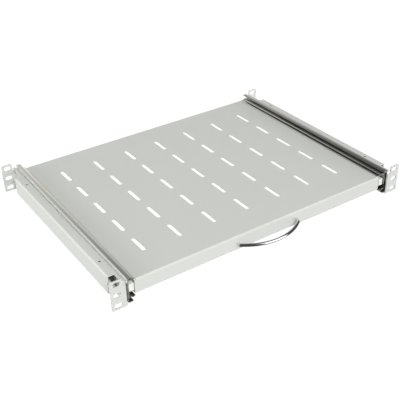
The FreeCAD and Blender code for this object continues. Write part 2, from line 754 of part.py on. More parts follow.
def make_handle():
    """Bow handle bent from round rod: a wide bow, a bend and a short stub at each end, and a stud
    that passes through the lip."""
    body = new_body("handle")
    half = "(handle_spacing / 2)"
    sweep = f"((handle_reach - handle_stub - handle_bend) / ({half} - handle_bend))"
    sine = f"(2 * {sweep} / (1 + {sweep} * {sweep}))"
    bow = f"(({half} - handle_bend) / {sine} + handle_bend)"
    front = "(tray_setback - handle_reach)"
    middle = new_sketch(body, "YZ_Plane")
    draw_axis(middle, f"({front} + {bow})")
    draw_rod(middle, (front, HANDLE_Z))
    revolve(body, middle, f"4 * atan({sweep})", middle=True)
    for side in (-1, 1):
        bend = new_sketch(body, "XZ_Plane", "-(tray_setback - handle_stub)")
        draw_axis(bend, f"{side} * ({half} - handle_bend)")
        draw_rod(bend, (f"{side} * {half}", HANDLE_Z))
        revolve(body, bend, f"90 deg - 2 * atan({sweep})", reverse=side > 0)
    stubs = new_sketch(body, "XZ_Plane", "-(tray_setback - handle_stub)")
    studs = new_sketch(body, "XZ_Plane", "-tray_setback")
    for side in (-1, 1):
        draw_rod(stubs, (f"{side} * {half}", HANDLE_Z))
        draw_circle(studs, (f"{side} * {half}", HANDLE_Z), "stud_diameter")
    pad(body, stubs, "handle_stub", reverse=True)
    pad(body, studs, "stud_length", reverse=True)
    return keep(body, "handle")


def make_handle_nuts():
    """Hexagon nuts on the handle's studs, against the inside of the lip."""
    inwards = FreeCAD.Rotation(FreeCAD.Vector(0, 0, 1), FreeCAD.Vector(0, 1, 0))
    nuts = []
    for side in (-1, 1):
        seat = (f"{side} * handle_spacing / 2", "tray_setback + tray_sheet", HANDLE_Z)
        blank = hexagon("handle_nut_blank", "nut_flats", "nut_height", seat, inwards)
        bore = cylinder("handle_nut_bore", "stud_diameter / 2 + stud_gap", "nut_height", seat, inwards)
        nut = doc.addObject("Part::Cut", "handle_nut")
        nut.Base = blank
        nut.Tool = bore
        nuts.append(nut)
    return group("handle_nuts", nuts)


def make_side(hand, side):
    """Everything on one side of the tray: bracket, three rails, two caged rows of balls and buffers."""
    make_bracket(f"{hand}_bracket", side)
    make_rail(f"{hand}_outer_rail", side, outer_section(), "-bracket_sheet", "tray_depth + rail_overhang")
    make_rail(f"{hand}_middle_rail", side, middle_section(), "middle_front", MIDDLE_LENGTH)
    make_rail(f"{hand}_inner_rail", side, inner_section(), "tray_setback + inner_setback",
              "tray_depth - inner_setback", screw_places())
    make_cage(f"{hand}_outer_cage", side, outer_cage_section(), OUTER_BALL, "outer_cage_setback")
    make_cage(f"{hand}_inner_cage", side, inner_cage_section(), INNER_BALL, "inner_cage_setback")
    make_balls(f"{hand}_outer_balls", side, OUTER_BALL, "outer_cage_setback")
    make_balls(f"{hand}_inner_balls", side, INNER_BALL, "inner_cage_setback")
    make_buffer(f"{hand}_front_buffer", side, INNER_WEB, -1, "front_buffer_width",
                "(front_buffer_rise - front_buffer_height / 2)", "front_buffer_height",
                "tray_setback", "front_buffer_length")
    make_buffer(f"{hand}_rear_buffer", side, "outer_gauge", 1, "rear_buffer_width",
                "(-rear_buffer_height / 2)", "rear_buffer_height",
                f"middle_front + {MIDDLE_LENGTH} + rear_buffer_gap", "rear_buffer_length")
    make_screws(f"{hand}_tray_screws", side)


make_tray()
make_handle()
make_handle_nuts()
make_side("left", -1)
make_side("right", 1)
doc.recompute()

for piece in doc.Objects:
    if "Invalid" in piece.State or "Error" in piece.State:
        raise RuntimeError(f"{piece.Name} did not build: {piece.State}")
for piece in nodes:
    if piece.Shape.isNull() or not piece.Shape.isValid():
        raise RuntimeError(f"{piece.Label} has no valid shape")

os.makedirs("parts", exist_ok=True)
for piece in nodes:
    piece.Shape.exportStep(os.path.join("parts", f"{piece.Label}.step"))
    print(f"{piece.Label}: {len(piece.Shape.Solids)} solids, {piece.Shape.Volume / 1000:.2f} cm3")
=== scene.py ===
"""Dresses the sliding rack shelf: finishes on its sheet metal and slides, and its turned parts."""

import json
import math

import bmesh
import bpy
from mathutils import Matrix, Vector

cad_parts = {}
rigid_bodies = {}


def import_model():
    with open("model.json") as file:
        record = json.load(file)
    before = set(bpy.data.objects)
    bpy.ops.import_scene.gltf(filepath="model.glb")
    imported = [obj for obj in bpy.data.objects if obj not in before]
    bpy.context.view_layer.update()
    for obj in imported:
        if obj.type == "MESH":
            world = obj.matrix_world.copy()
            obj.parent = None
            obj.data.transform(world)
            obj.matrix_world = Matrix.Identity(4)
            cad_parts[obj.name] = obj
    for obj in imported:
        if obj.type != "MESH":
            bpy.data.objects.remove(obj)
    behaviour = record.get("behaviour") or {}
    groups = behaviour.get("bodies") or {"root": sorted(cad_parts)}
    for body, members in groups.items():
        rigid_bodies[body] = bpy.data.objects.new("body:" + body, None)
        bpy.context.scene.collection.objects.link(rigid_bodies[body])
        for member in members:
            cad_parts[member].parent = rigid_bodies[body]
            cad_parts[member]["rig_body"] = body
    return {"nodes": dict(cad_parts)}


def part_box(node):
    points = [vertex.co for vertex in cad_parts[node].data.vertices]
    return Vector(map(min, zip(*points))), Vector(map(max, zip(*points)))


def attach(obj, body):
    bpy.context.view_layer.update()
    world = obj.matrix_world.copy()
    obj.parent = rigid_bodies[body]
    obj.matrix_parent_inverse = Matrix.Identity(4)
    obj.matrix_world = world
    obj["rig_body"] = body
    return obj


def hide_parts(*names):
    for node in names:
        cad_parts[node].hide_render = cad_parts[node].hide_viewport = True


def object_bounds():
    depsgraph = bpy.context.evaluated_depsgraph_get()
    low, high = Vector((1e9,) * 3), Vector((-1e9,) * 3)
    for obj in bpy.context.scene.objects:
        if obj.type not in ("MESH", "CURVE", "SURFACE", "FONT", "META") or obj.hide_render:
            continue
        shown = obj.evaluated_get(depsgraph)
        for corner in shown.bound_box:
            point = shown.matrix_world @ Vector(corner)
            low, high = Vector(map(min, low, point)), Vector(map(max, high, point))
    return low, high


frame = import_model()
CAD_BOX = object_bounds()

bl_info = {
    "name": "Sliding Rack Shelf",
    "version": (1, 0, 0),
    "blender": (4, 5, 0),
    "location": "View3D > Sidebar > Rack Shelf",
    "description": "Finishes and turned parts of a sliding rack shelf on its packed frame",
    "category": "Object",
}

MM = 0.001

# The slides, and each side's way in towards the tray along X
INWARDS = {"left": 1, "right": -1}
BALLS_IN_ROW = 3

# Painted shade in the bracket's channel, dark grey standing in for the recess's shade, a little
# wider than the hollow: width and height, its side from the outer rail's back, its top below the
# bracket's, and how far from the bracket's ends the painted shade begins and is full
CHANNEL_WIDTH = 12.8 * MM
CHANNEL_HEIGHT = 24.0 * MM
CHANNEL_SIDE = 1.3 * MM
CHANNEL_TOP = 7.6 * MM
SHADE_BEGINS = 24 * MM
SHADE_WHOLLY = 32 * MM

# The outer rail's painted-light edge, from where it begins to where it is full, in from the rail's
# back and down from its top, and the groove's painted light, from where it is full to where it ends
EDGE_IN = (1.6 * MM, 0.8 * MM)
EDGE_DOWN = (7 * MM, 5 * MM)
GROOVE_LIGHT_DOWN = (3.4 * MM, 2.2 * MM)

# Sizes of the finishes' patterns, in millimetres
COAT_DRIFT = 90
COAT_PEEL = 1.4
STREAK_WIDTH = 0.5
STREAK_LENGTH = 60
STRAW_CLOUD = 35
OIL_FILM = 6
GREASE_SMEAR = 1.5
NYLON_CLOUD = 3
HANDLING_MARKS = 8
BARREL_MOTTLE = 1.2

# Steps in a turn of a round part, of a thread and of a ball, and round a bow and a bend
ROUND_STEPS = 32
THREAD_STEPS = 16
BALL_RINGS = 16
BOW_STEPS = 48
BEND_STEPS = 12
HEXAGON = 6

# The turn that lays an upright part along the shelf, into the rack
ALONG_Y = Matrix.Rotation(-math.pi / 2, 4, "X")

# Edges sharper than this stay sharp
SMOOTH_UNDER = math.radians(38)


# Colours and sizes


def linear(code):
    """An sRGB hex colour as linear red, green and blue."""
    shares = [int(code[at:at + 2], 16) / 255 for at in (1, 3, 5)]
    return [share / 12.92 if share <= 0.04045 else ((share + 0.055) / 1.055) ** 2.4
            for share in shares]


def length(name, description, millimetres):
    """A length that a user may change, set in millimetres."""
    return bpy.props.FloatProperty(
        name=name, description=description, default=millimetres * MM, unit="LENGTH", precision=5)


def angle(name, description, degrees):
    """An angle that a user may change, set in degrees."""
    return bpy.props.FloatProperty(
        name=name, description=description, default=math.radians(degrees), unit="ROTATION")


def level(name, description, amount, unit="NONE"):
    """A brightness or power that a user may change."""
    return bpy.props.FloatProperty(
        name=name, description=description, default=amount, min=0, unit=unit)


def colour(name, description, code):
    """A finish's colour that a user may change, set as sRGB hex."""
    return bpy.props.FloatVectorProperty(
        name=name, description=description, default=linear(code), size=3, subtype="COLOR",
        min=0, max=1)


class RackShelfSizes(bpy.types.PropertyGroup):
    """Sizes of the turned parts that stand for their plainer solids."""

    rod: length("Handle rod", "Diameter of the handle's chrome rod", 4.5)
    stub: length("Handle stub", "Straight length of rod between the lip and the bend", 2.0)
    bend: length("Handle bend", "Centre-line radius of the bend at each end", 5.0)
    thread: length("Thread", "Diameter of studs and screws over their thread", 4.0)
    pitch: length("Thread pitch", "Distance from one thread crest to the next", 0.7)
    depth: length("Thread depth", "Depth of the thread below its crest", 0.4)
    flats: length("Across flats", "Size across the flats of nuts and screw heads", 7.0)
    chamfer: length("Chamfer", "Break on the corners of nuts and screw heads", 0.45)
    head: length("Screw head", "Height of the tray screws' heads", 2.6)
    ball: length("Ball", "Diameter of the slides' balls", 4.0)


class RackShelfColours(bpy.types.PropertyGroup):
    """Colours of the finishes."""

    coat: colour("Powder coat", "Light grey of the coated sheet", "#D4D6D1")
    coat_shade: colour(
        "Powder coat shade", "Slightly deeper grey where the coat lies thinner", "#D0D2CD")
    # Painted shade: dark grey for the inside of the brackets' channels, standing in for their shade
    painted_channel_shade: colour(
        "Thin powder coat", "Dark steel in the channel, where the powder hardly reaches", "#3A3B38")
    zinc: colour("Zinc", "Bright zinc plate", "#C4C5C1")
    zinc_shade: colour("Zinc shade", "Zinc between the rolling streaks", "#AEAFAB")
    # Painted light: pale zinc and near white for the outer rail's edge and groove by the bracket
    zinc_painted_light: colour("Pale zinc", "Dull film on the zinc beside the bracket", "#C0C0BA")
    zinc_painted_groove_light: colour(
        "Zinc bloom", "White salts on the zinc in the groove beside the bracket", "#F6F6F0")
    zinc_tint: colour("Zinc tint", "Yellowish passivation on the zinc", "#C0BDAB")
    strip: colour("Cage strip", "Oiled cold-rolled strip of the cages", "#7E7E7A")
    strip_shade: colour("Cage strip shade", "Strip where the oil lies thicker", "#5E5E59")
    ball_steel: colour("Ball steel", "Hardened and polished bearing steel", "#8A8C8E")
    nylon: colour("Nylon", "Natural white nylon", "#EFEEE8")
    nylon_shade: colour("Nylon shade", "Nylon where the moulding cooled more slowly", "#E6E4DC")
    chrome: colour("Chrome", "Chromium plate", "#E8E8E8")
    floor: colour("Floor", "Pale studio floor", "#FFFFFF")


class RackShelfStage(bpy.types.PropertyGroup):
    """Camera and light of the stage."""

    camera_x: length("Camera X", "Camera's place to the right of the shelf's middle", -523.2)
    camera_y: length("Camera Y", "Camera's place behind the front ears", -631.2)
    camera_z: length("Camera Z", "Camera's height over the middle ear slots", 561.2)
    heading: angle("Heading", "Camera's turn to the right from straight ahead", 33.2)
    down: angle("Down", "Camera's tilt below the horizon", 32.08)
    roll: angle("Roll", "Camera's turn about its own line of sight", -1.6)
    lens: level("Lens", "Focal length on a sensor 36 mm wide", 66.38, "CAMERA")
    floor_glow: level("Floor glow", "Brightness of the lit floor", 1.05)
    key: level("Key", "Brightness of the tall bright screen before the shelf", 1.6)
    backdrop: level("Backdrop", "Brightness of the low backdrop behind the shelf", 1.35)
    ambient: level("Ambient", "Brightness of the rest of the studio", 0.08)
    side_power: level(
        "Side softbox", "Power of the softbox to the left of the shelf", 24.0, "POWER")
    far_power: level(
        "Far softbox", "Power of the softbox to the right of the shelf", 16.0, "POWER")
    main_power: level(
        "Main softbox", "Power of the softbox high to the left before the shelf", 222.0, "POWER")


# Materials


def add_node(tree, kind, inputs=None, **settings):
    """Adds a node to a tree, gives it its settings, and sets or links its inputs."""
    node = tree.nodes.new(kind)
    for name, value in settings.items():
        setattr(node, name, value)
    for socket, value in (inputs or {}).items():
        if isinstance(value, bpy.types.NodeSocket):
            tree.links.new(value, node.inputs[socket])
        else:
            node.inputs[socket].default_value = value
    return node


def per_metre(millimetres):
    """The texture scale that gives a pattern features of a real size."""
    return 1 / (millimetres * MM)


def opaque(rgb):
    """A colour with full alpha, as colour sockets take it."""
    return (*rgb, 1)


def new_material(name):
    """An empty material: its node tree, and the place in space that its patterns read."""
    material = bpy.data.materials.new(name)
    material.use_nodes = True
    tree = material.node_tree
    tree.nodes.clear()
    place = add_node(tree, "ShaderNodeTexCoord").outputs["Object"]
    return material, tree, place


def close_material(tree, surface):
    """Joins a surface to the material's output."""
    add_node(tree, "ShaderNodeOutputMaterial", {"Surface": surface.outputs["BSDF"]})


def powder_coat():
    """Polyester powder coat, sprayed and baked: an even satin grey with a fine orange peel."""
    colours = bpy.context.scene.rack_shelf_colours
    material, tree, place = new_material("light_grey_powder_coat_and_painted_shade")
    # The coat's thickness drifts over hands' breadths, and its peel is a millimetre or so wide
    drift = add_node(tree, "ShaderNodeTexNoise", {
        "Vector": place, "Scale": per_metre(COAT_DRIFT), "Detail": 2.0})
    peel = add_node(tree, "ShaderNodeTexNoise", {
        "Vector": place, "Scale": per_metre(COAT_PEEL), "Detail": 2.0})
    tone = add_node(tree, "ShaderNodeMixRGB", {
        "Fac": drift.outputs["Fac"],
        "Color1": opaque(colours.coat), "Color2": opaque(colours.coat_shade)})
    # Painted shade: the coat turns dark grey inside the bracket's channel, for the shade there
    low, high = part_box("right_bracket")
    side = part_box("right_outer_rail")[1].x + CHANNEL_SIDE
    top = high.z - CHANNEL_TOP
    half = (high.y - low.y) / 2
    parts = add_node(tree, "ShaderNodeSeparateXYZ", {"Vector": place}).outputs
    reach = add_node(tree, "ShaderNodeMath", {0: parts["X"]}, operation="ABSOLUTE")
    inside = add_node(tree, "ShaderNodeMath", {
        0: reach.outputs["Value"], 1: side + CHANNEL_WIDTH / 2, 2: CHANNEL_WIDTH / 2},
        operation="COMPARE")
    under = add_node(tree, "ShaderNodeMath", {
        0: parts["Z"], 1: top - CHANNEL_HEIGHT / 2, 2: CHANNEL_HEIGHT / 2}, operation="COMPARE")
    along = add_node(tree, "ShaderNodeMath", {
        0: parts["Y"], 1: (low.y + high.y) / 2}, operation="SUBTRACT")
    from_middle = add_node(tree, "ShaderNodeMath", {
        0: along.outputs["Value"]}, operation="ABSOLUTE")
    deep = add_node(tree, "ShaderNodeMapRange", {
        "Value": from_middle.outputs["Value"],
        "From Min": half - SHADE_WHOLLY, "From Max": half - SHADE_BEGINS,
        "To Min": 1.0, "To Max": 0.0})
    channel = add_node(tree, "ShaderNodeMath", {
        0: inside.outputs["Value"], 1: under.outputs["Value"]}, operation="MULTIPLY")
    # The painted shade's strength: full in the channel's hollow, fading out towards the bracket's
    # ends
    thin = add_node(tree, "ShaderNodeMath", {
        0: channel.outputs["Value"], 1: deep.outputs["Result"]}, operation="MULTIPLY")
    # Painted shade: dark grey laid over the coat in the channel
    coat = add_node(tree, "ShaderNodeMixRGB", {
        "Fac": thin.outputs["Value"],
        "Color1": tone.outputs["Color"], "Color2": opaque(colours.painted_channel_shade)})
    satin = add_node(tree, "ShaderNodeMapRange", {
        "Value": peel.outputs["Fac"], "To Min": 0.62, "To Max": 0.72})
    bump = add_node(tree, "ShaderNodeBump", {
        "Height": peel.outputs["Fac"], "Strength": 0.1, "Distance": 0.06 * MM})
    close_material(tree, add_node(tree, "ShaderNodeBsdfPrincipled", {
        "Base Color": coat.outputs["Color"], "Roughness": satin.outputs["Result"], "IOR": 1.5,
        "Normal": bump.outputs["Normal"]}))
    return material


def zinc_plate():
    """Bright zinc on rolled steel: grey metal streaked along the roll, with a faint straw tint."""
    colours = bpy.context.scene.rack_shelf_colours
    material, tree, place = new_material("zinc_plated_rolled_steel_and_painted_light")
    # Rolling streaks run along the rail
    lie = add_node(tree, "ShaderNodeMapping", {
        "Vector": place,
        "Scale": (per_metre(STREAK_WIDTH), per_metre(STREAK_LENGTH), per_metre(STREAK_WIDTH))})
    streak = add_node(tree, "ShaderNodeTexNoise", {
        "Vector": lie.outputs["Vector"], "Scale": 1.0, "Detail": 3.0})
    cloud = add_node(tree, "ShaderNodeTexNoise", {
        "Vector": place, "Scale": per_metre(STRAW_CLOUD), "Detail": 2.0})
    grey = add_node(tree, "ShaderNodeMixRGB", {
        "Fac": streak.outputs["Fac"],
        "Color1": opaque(colours.zinc_shade), "Color2": opaque(colours.zinc)})
    # The passivation tints the zinc in clouds
    straw = add_node(tree, "ShaderNodeMapRange", {
        "Value": cloud.outputs["Fac"], "From Min": 0.45, "From Max": 0.7, "To Max": 0.6})
    warm = add_node(tree, "ShaderNodeMixRGB", {
        "Fac": straw.outputs["Result"],
        "Color1": grey.outputs["Color"], "Color2": opaque(colours.zinc_tint)})
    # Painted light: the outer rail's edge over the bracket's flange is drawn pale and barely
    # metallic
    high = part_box("right_outer_rail")[1]
    parts = add_node(tree, "ShaderNodeSeparateXYZ", {"Vector": place}).outputs
    reach = add_node(tree, "ShaderNodeMath", {0: parts["X"]}, operation="ABSOLUTE")
    beside = add_node(tree, "ShaderNodeMapRange", {
        "Value": reach.outputs["Value"],
        "From Min": high.x - EDGE_IN[0], "From Max": high.x - EDGE_IN[1]})
    over = add_node(tree, "ShaderNodeMapRange", {
        "Value": parts["Z"],
        "From Min": high.z - EDGE_DOWN[0], "From Max": high.z - EDGE_DOWN[1]})
    edge_light = add_node(tree, "ShaderNodeMath", {
        0: beside.outputs["Result"], 1: over.outputs["Result"]}, operation="MULTIPLY")
    metal_share = add_node(tree, "ShaderNodeMapRange", {
        "Value": edge_light.outputs["Value"], "To Min": 1.0, "To Max": 0.15})
    tone = add_node(tree, "ShaderNodeMixRGB", {
        "Fac": edge_light.outputs["Value"],
        "Color1": warm.outputs["Color"], "Color2": opaque(colours.zinc_painted_light)})
    # Painted light: the groove between that edge and the flange is drawn near white over its shade
    groove = add_node(tree, "ShaderNodeMapRange", {
        "Value": parts["Z"],
        "From Min": high.z - GROOVE_LIGHT_DOWN[0], "From Max": high.z - GROOVE_LIGHT_DOWN[1],
        "To Min": 1.0, "To Max": 0.0})
    groove_light = add_node(tree, "ShaderNodeMath", {
        0: edge_light.outputs["Value"], 1: groove.outputs["Result"]}, operation="MULTIPLY")
    groove_lit = add_node(tree, "ShaderNodeMixRGB", {
        "Fac": groove_light.outputs["Value"],
        "Color1": tone.outputs["Color"], "Color2": opaque(colours.zinc_painted_groove_light)})
    sheen = add_node(tree, "ShaderNodeMapRange", {
        "Value": streak.outputs["Fac"], "To Min": 0.24, "To Max": 0.36})
    bump = add_node(tree, "ShaderNodeBump", {
        "Height": streak.outputs["Fac"], "Strength": 0.15, "Distance": 0.03 * MM})
    close_material(tree, add_node(tree, "ShaderNodeBsdfPrincipled", {
        "Base Color": groove_lit.outputs["Color"], "Metallic": metal_share.outputs["Result"],
        "Roughness": sheen.outputs["Result"], "Normal": bump.outputs["Normal"]}))
    return material


def cage_strip():
    """Cold-rolled steel strip, pressed and oiled: darker metal with a wet, uneven sheen."""
    colours = bpy.context.scene.rack_shelf_colours
    material, tree, place = new_material("oiled_cold_rolled_strip")
    film = add_node(tree, "ShaderNodeTexNoise", {
        "Vector": place, "Scale": per_metre(OIL_FILM), "Detail": 3.0})
    tone = add_node(tree, "ShaderNodeMixRGB", {
        "Fac": film.outputs["Fac"],
        "Color1": opaque(colours.strip), "Color2": opaque(colours.strip_shade)})
    wet = add_node(tree, "ShaderNodeMapRange", {
        "Value": film.outputs["Fac"], "To Min": 0.5, "To Max": 0.25})
    close_material(tree, add_node(tree, "ShaderNodeBsdfPrincipled", {
        "Base Color": tone.outputs["Color"], "Metallic": 1.0,
        "Roughness": wet.outputs["Result"]}))
    return material


def polished_ball_steel():
    """Hardened bearing steel, ground and polished: a bright mirror under a thin smear of grease."""
    colours = bpy.context.scene.rack_shelf_colours
    material, tree, place = new_material("polished_bearing_steel")
    smear = add_node(tree, "ShaderNodeTexNoise", {
        "Vector": place, "Scale": per_metre(GREASE_SMEAR), "Detail": 2.0})
    gloss = add_node(tree, "ShaderNodeMapRange", {
        "Value": smear.outputs["Fac"], "To Min": 0.18, "To Max": 0.32})
    close_material(tree, add_node(tree, "ShaderNodeBsdfPrincipled", {
        "Base Color": opaque(colours.ball_steel), "Metallic": 1.0,
        "Roughness": gloss.outputs["Result"]}))
    return material


def white_nylon():
    """Natural nylon, injection moulded: milky white, a little waxy, faintly clouded."""
    colours = bpy.context.scene.rack_shelf_colours
    material, tree, place = new_material("moulded_white_nylon")
    cloud = add_node(tree, "ShaderNodeTexNoise", {
        "Vector": place, "Scale": per_metre(NYLON_CLOUD), "Detail": 2.0})
    tone = add_node(tree, "ShaderNodeMixRGB", {
        "Fac": cloud.outputs["Fac"],
        "Color1": opaque(colours.nylon), "Color2": opaque(colours.nylon_shade)})
    waxy = add_node(tree, "ShaderNodeMapRange", {
        "Value": cloud.outputs["Fac"], "To Min": 0.35, "To Max": 0.5})
    close_material(tree, add_node(tree, "ShaderNodeBsdfPrincipled", {
        "Base Color": tone.outputs["Color"], "Roughness": waxy.outputs["Result"], "IOR": 1.53,
        "Subsurface Weight": 0.15, "Subsurface Radius": (1.0, 0.9, 0.8),
        "Subsurface Scale": 0.8 * MM}))
    return material


def chrome_plate():
    """Bright chromium over polished rod: a dark-and-white mirror with faint handling marks."""
    colours = bpy.context.scene.rack_shelf_colours
    material, tree, place = new_material("bright_chrome_plate")
    marks = add_node(tree, "ShaderNodeTexNoise", {
        "Vector": place, "Scale": per_metre(HANDLING_MARKS), "Detail": 3.0})
    gloss = add_node(tree, "ShaderNodeMapRange", {
        "Value": marks.outputs["Fac"], "From Min": 0.4, "From Max": 0.8,
        "To Min": 0.03, "To Max": 0.14})
    close_material(tree, add_node(tree, "ShaderNodeBsdfPrincipled", {
        "Base Color": opaque(colours.chrome), "Metallic": 1.0,
        "Roughness": gloss.outputs["Result"]}))
    return material


def zinc_fastener():
    """Zinc plate, tumbled on small hardware: soft grey metal, mottled by the barrel."""
    colours = bpy.context.scene.rack_shelf_colours
    material, tree, place = new_material("barrel_plated_zinc")
    mottle = add_node(tree, "ShaderNodeTexNoise", {
        "Vector": place, "Scale": per_metre(BARREL_MOTTLE), "Detail": 3.0})
    tone = add_node(tree, "ShaderNodeMixRGB", {
        "Fac": mottle.outputs["Fac"],
        "Color1": opaque(colours.zinc), "Color2": opaque(colours.zinc_tint)})
    sheen = add_node(tree, "ShaderNodeMapRange", {
        "Value": mottle.outputs["Fac"], "To Min": 0.25, "To Max": 0.45})
    close_material(tree, add_node(tree, "ShaderNodeBsdfPrincipled", {
        "Base Color": tone.outputs["Color"], "Metallic": 1.0,
        "Roughness": sheen.outputs["Result"]}))
    return material


def coat_nodes(nodes, material):
    """Gives CAD nodes, whose shapes stay, their finish."""
    for node in nodes:
        for slot in frame["nodes"][node].material_slots:
            slot.material = material


def both_sides(*parts):
    """The names of a part's nodes on the left and on the right."""
    return [f"{hand}_{part}" for hand in INWARDS for part in parts]


# Meshes


def run_on(mesh, ring, along, grow=1.0):
    """Carries a ring of edges on in a straight run, to another size, and returns its new end."""
    made = bmesh.ops.extrude_edge_only(mesh, edges=ring)["geom"]
    points = [item for item in made if isinstance(item, bmesh.types.BMVert)]
    bmesh.ops.translate(mesh, verts=points, vec=along)
    middle = sum((point.co for point in points), Vector()) / len(points)
    bmesh.ops.scale(
        mesh, verts=points, vec=(grow, grow, grow), space=Matrix.Translation(-middle))
    return [item for item in made
            if isinstance(item, bmesh.types.BMEdge) and set(points).issuperset(item.verts)]


def sweep(mesh, ring, centre, turn, steps):
    """Carries a ring of edges round an upright axis, and returns its new end."""
    last = bmesh.ops.spin(
        mesh, geom=ring, cent=centre, axis=(0, 0, 1), angle=turn, steps=steps)["geom_last"]
    return [item for item in last if isinstance(item, bmesh.types.BMEdge)]


def new_ring(mesh, radius, matrix=Matrix.Identity(4), steps=ROUND_STEPS, closed=True):
    """A ring of edges in a fixed order, closed by a face or left open."""
    points = bmesh.ops.create_circle(
        mesh, cap_ends=closed, segments=steps, radius=radius, matrix=matrix)["verts"]
    return list(dict.fromkeys(edge for point in points for edge in point.link_edges))


def close_ring(mesh, ring):
    """Closes the end of a run with a face."""
    bmesh.ops.contextual_create(mesh, geom=ring)


def threaded_rod(reach):
    """A threaded rod from the origin up Z: a core with a chamfered tip, and the thread's ridge."""
    sizes = bpy.context.scene.rack_shelf_sizes
    mesh = bmesh.new()
    crest = sizes.thread / 2
    core = crest - sizes.depth
    ring = new_ring(mesh, core)
    ring = run_on(mesh, ring, (0, 0, reach - sizes.depth))
    ring = run_on(mesh, ring, (0, 0, sizes.depth), grow=1 - sizes.depth / core)
    close_ring(mesh, ring)
    # The ridge's foot is sunk in the core, and leaves an eighth of the pitch bare on each side
    turns = int((reach - sizes.depth) / sizes.pitch) - 1
    foot = core - sizes.depth / 4
    corners = [mesh.verts.new((foot, 0, sizes.pitch / 8)),
               mesh.verts.new((crest, 0, sizes.pitch / 2)),
               mesh.verts.new((foot, 0, sizes.pitch * 7 / 8))]
    ridge = mesh.faces.new(corners)
    bmesh.ops.spin(
        mesh, geom=[ridge, *ridge.edges, *ridge.verts], axis=(0, 0, 1), angle=math.tau * turns,
        dvec=(0, 0, sizes.pitch / THREAD_STEPS), steps=THREAD_STEPS * turns)
    return mesh


def hexagon(height, bore=0.0):
    """A hexagon nut or screw head with broken corners, from the origin up Z."""
    sizes = bpy.context.scene.rack_shelf_sizes
    mesh = bmesh.new()
    corner = sizes.flats / math.sqrt(3)
    quarter = Matrix.Rotation(math.pi / 2, 4, "Z")
    outline = new_ring(mesh, corner, quarter, HEXAGON, closed=not bore)
    if bore:
        cuts = ROUND_STEPS // HEXAGON - 1
        bmesh.ops.subdivide_edges(mesh, edges=outline, cuts=cuts)
        rim = list(mesh.edges)
        hole = new_ring(mesh, bore, quarter, HEXAGON * (cuts + 1), closed=False)
        bmesh.ops.bridge_loops(mesh, edges=rim + hole)
    made = bmesh.ops.extrude_face_region(mesh, geom=list(mesh.faces))["geom"]
    crown = [item for item in made if isinstance(item, bmesh.types.BMVert)]
    bmesh.ops.translate(mesh, verts=crown, vec=(0, 0, height))
    flat = corner * math.cos(math.pi / HEXAGON) - sizes.chamfer
    rims = [edge for edge in mesh.edges
            if abs(edge.verts[0].co.z - edge.verts[1].co.z) < sizes.chamfer / 2
            and min(point.co.xy.length for point in edge.verts) > flat]
    bmesh.ops.bevel(
        mesh, geom=rims, offset=sizes.chamfer, segments=2, profile=0.5, affect="EDGES", material=-1)
    return mesh


def set_in(mesh, shape, place):
    """Sets a shape into a piece's mesh at its place."""
    bmesh.ops.transform(shape, matrix=place, verts=shape.verts)
    data = bpy.data.meshes.new("shape")
    shape.to_mesh(data)
    shape.free()
    mesh.from_mesh(data)
    bpy.data.meshes.remove(data)


def finish_piece(mesh, name, node, material):
    """Makes a mesh the piece that stands for a CAD node and moves with the node's body."""
    bmesh.ops.recalc_face_normals(mesh, faces=mesh.faces)
    data = bpy.data.meshes.new(name)
    mesh.to_mesh(data)
    mesh.free()
    data.materials.append(material)
    data.shade_smooth()
    data.set_sharp_from_angle(angle=SMOOTH_UNDER)
    piece = bpy.data.objects.new(name, data)
    bpy.context.scene.collection.objects.link(piece)
    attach(piece, frame["nodes"][node]["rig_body"])
    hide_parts(node)
    return piece


# Pieces


class RACKSHELF_OT_sheet(bpy.types.Operator):
    """Coats the folded sheet of the tray and the brackets"""

    bl_idname = "rackshelf.sheet"
    bl_label = "Coat Tray and Brackets"

    def execute(self, context):
        coat_nodes(["tray", *both_sides("bracket")], powder_coat())
        return {"FINISHED"}


class RACKSHELF_OT_rails(bpy.types.Operator):
    """Plates the three rails of each slide"""

    bl_idname = "rackshelf.rails"
    bl_label = "Plate Slide Rails"

    def execute(self, context):
        coat_nodes(both_sides("outer_rail", "middle_rail", "inner_rail"), zinc_plate())
        return {"FINISHED"}


class RACKSHELF_OT_cages(bpy.types.Operator):
    """Finishes the cages that keep the balls apart"""

    bl_idname = "rackshelf.cages"
    bl_label = "Finish Ball Cages"

    def execute(self, context):
        coat_nodes(both_sides("outer_cage", "inner_cage"), cage_strip())
        return {"FINISHED"}


class RACKSHELF_OT_buffers(bpy.types.Operator):
    """Finishes the moulded buffers at the ends of the slides"""

    bl_idname = "rackshelf.buffers"
    bl_label = "Finish Buffers"

    def execute(self, context):
        coat_nodes(both_sides("front_buffer", "rear_buffer"), white_nylon())
        return {"FINISHED"}


class RACKSHELF_OT_balls(bpy.types.Operator):
    """Makes the round balls of both races of each slide"""

    bl_idname = "rackshelf.balls"
    bl_label = "Make Balls"

    def execute(self, context):
        radius = context.scene.rack_shelf_sizes.ball / 2
        steel = polished_ball_steel()
        for node in both_sides("outer_balls", "inner_balls"):
            low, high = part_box(node)
            reach = (high.x - low.x) / 2
            first = low + Vector((reach, reach, reach))
            last = high - Vector((reach, reach, reach))
            mesh = bmesh.new()
            for row in (first.z, last.z):
                for step in range(BALLS_IN_ROW):
                    share = step / (BALLS_IN_ROW - 1)
                    centre = Vector((first.x, first.y + share * (last.y - first.y), row))
                    bmesh.ops.create_uvsphere(
                        mesh, u_segments=ROUND_STEPS, v_segments=BALL_RINGS, radius=radius,
                        matrix=Matrix.Translation(centre))
            finish_piece(mesh, f"{node}_polished", node, steel)
        return {"FINISHED"}


